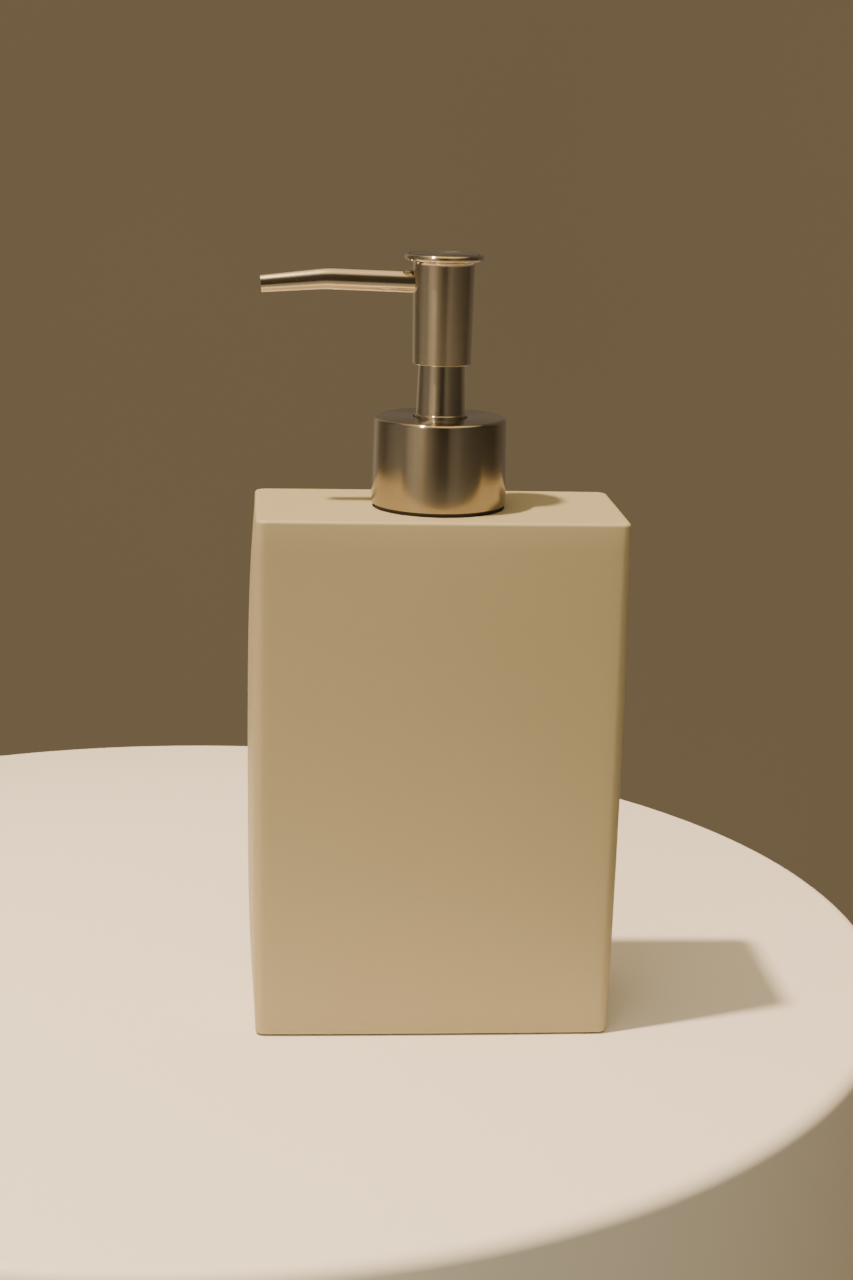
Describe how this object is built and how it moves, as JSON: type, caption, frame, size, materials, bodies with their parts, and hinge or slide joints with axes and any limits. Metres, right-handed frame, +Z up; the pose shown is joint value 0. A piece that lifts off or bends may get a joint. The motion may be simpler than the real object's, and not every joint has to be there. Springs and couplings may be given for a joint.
{
  "type": "soap pump dispenser",
  "caption": "Free-standing refillable soap dispenser: a flat cast bottle with a screw-on lotion pump whose head is pressed to pour soap from a side spout.",
  "frame": {"origin": "centre of the bottle's footprint, on the surface it stands on", "axes": "+Z up along the pump's axis, the broad front face looks along -Y, and the spout points along -X"},
  "size_m": [0.09, 0.045, 0.1863],
  "materials": {
    "cast_resin": "matte",
    "base_resin": "matte",
    "pad_foam": "matte",
    "black_plastic": "satin",
    "white_plastic": "satin",
    "clear_plastic": "gloss",
    "soft_plastic": "matte",
    "soft_rubber": "matte",
    "brushed_steel": "satin",
    "polished_steel": "polished",
    "spring_steel": "gloss"
  },
  "bodies": {
    "bottle": {"bottle_body": "cast_resin", "base_plate": "base_resin", "base_pad": "pad_foam", "neck_insert": "black_plastic"},
    "pump_unit": {"pump_housing": "clear_plastic", "neck_gasket": "soft_rubber", "guide_cap": "white_plastic", "neck_sleeve": "brushed_steel", "pump_spring": "spring_steel", "ball_retainer": "white_plastic", "dip_tube": "clear_plastic"},
    "closure": {"collar_shell": "brushed_steel", "closure_liner": "white_plastic"},
    "plunger": {"piston": "soft_plastic"},
    "head": {"stem": "white_plastic", "head_core": "white_plastic", "head_shell": "brushed_steel", "head_cap": "brushed_steel", "spout_tube": "brushed_steel", "spout_liner": "white_plastic"},
    "inlet_valve": {"inlet_ball": "polished_steel"},
    "outlet_valve": {"outlet_ball": "polished_steel"}
  },
  "joints": [
    {"name": "pump_lift", "type": "slide", "parent": "bottle", "child": "pump_unit", "axis": [0, 0, 1], "range_m": [0, 0.0053]},
    {"name": "closure_turn", "type": "hinge", "parent": "pump_unit", "child": "closure", "pos_m": [0, 0, 0.137], "axis": [0, 0, 1], "range_deg": [0, 450]},
    {"name": "pump_stroke", "type": "slide", "parent": "pump_unit", "child": "plunger", "axis": [0, 0, -1], "range_m": [0, 0.0115], "stiffness_N_per_m": 650, "springref_m": -0.01, "deforming": ["pump_spring"]},
    {"name": "head_swivel", "type": "hinge", "parent": "plunger", "child": "head", "pos_m": [0, 0, 0.17], "axis": [0, 0, 1], "continuous": true},
    {"name": "inlet_valve_lift", "type": "slide", "parent": "pump_unit", "child": "inlet_valve", "axis": [0, 0, 1], "range_m": [0, 0.0015]},
    {"name": "outlet_valve_lift", "type": "slide", "parent": "head", "child": "outlet_valve", "axis": [0, 0, 1], "range_m": [0, 0.0012]}
  ],
  "couplings": [
    {"joint": "pump_lift", "follows": "closure_turn", "m_per_rad": 0.0006737}
  ]
}
